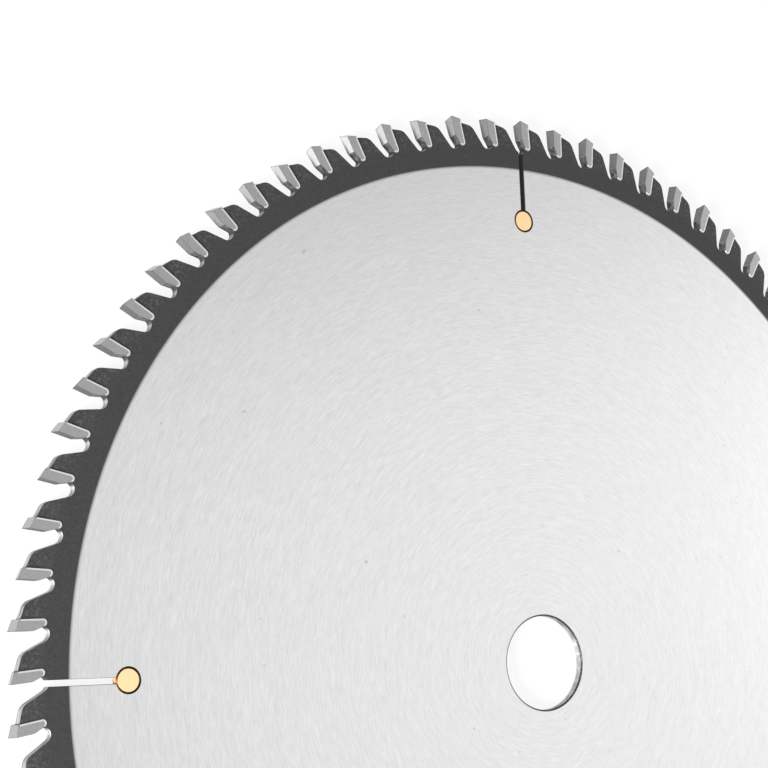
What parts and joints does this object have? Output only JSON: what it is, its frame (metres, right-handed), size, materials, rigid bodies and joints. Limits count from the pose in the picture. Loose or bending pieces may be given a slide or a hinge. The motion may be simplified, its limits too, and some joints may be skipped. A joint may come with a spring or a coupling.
{
  "type": "circular saw blade",
  "caption": "Round steel saw blade with brazed carbide teeth, radial expansion slots closed by copper plugs, and a plain round bore.",
  "frame": {"origin": "centre of the bore, half way through the plate", "axes": "+Z along the arbor axis, out of the front face; +X through the cutting corner of a tooth and along one expansion slot"},
  "size_m": [0.3048, 0.3048, 0.0036],
  "materials": {
    "plate_steel": "bright, ground in circles round the bore, with a dark blasted band at the rim",
    "tip_carbide": "ground tungsten carbide, matt grey",
    "braze_silver": "silver solder, smooth as it flowed",
    "plug_copper": "copper, ground flush with the plate"
  },
  "bodies": {
    "root": {"saw_plate": "plate_steel", "copper_plug_1": "plug_copper", "copper_plug_2": "plug_copper", "copper_plug_3": "plug_copper", "copper_plug_4": "plug_copper", "carbide_tips_front_high_1": "tip_carbide", "carbide_tips_front_high_2": "tip_carbide", "carbide_tips_front_high_3": "tip_carbide", "carbide_tips_front_high_4": "tip_carbide", "carbide_tips_front_high_5": "tip_carbide", "carbide_tips_front_high_6": "tip_carbide", "carbide_tips_front_high_7": "tip_carbide", "carbide_tips_front_high_8": "tip_carbide", "carbide_tips_back_high_1": "tip_carbide", "carbide_tips_back_high_2": "tip_carbide", "carbide_tips_back_high_3": "tip_carbide", "carbide_tips_back_high_4": "tip_carbide", "carbide_tips_back_high_5": "tip_carbide", "carbide_tips_back_high_6": "tip_carbide", "carbide_tips_back_high_7": "tip_carbide", "carbide_tips_back_high_8": "tip_carbide", "braze_seams_1": "braze_silver", "braze_seams_2": "braze_silver", "braze_seams_3": "braze_silver", "braze_seams_4": "braze_silver", "braze_seams_5": "braze_silver", "braze_seams_6": "braze_silver", "braze_seams_7": "braze_silver", "braze_seams_8": "braze_silver"}
  },
  "joints": []
}
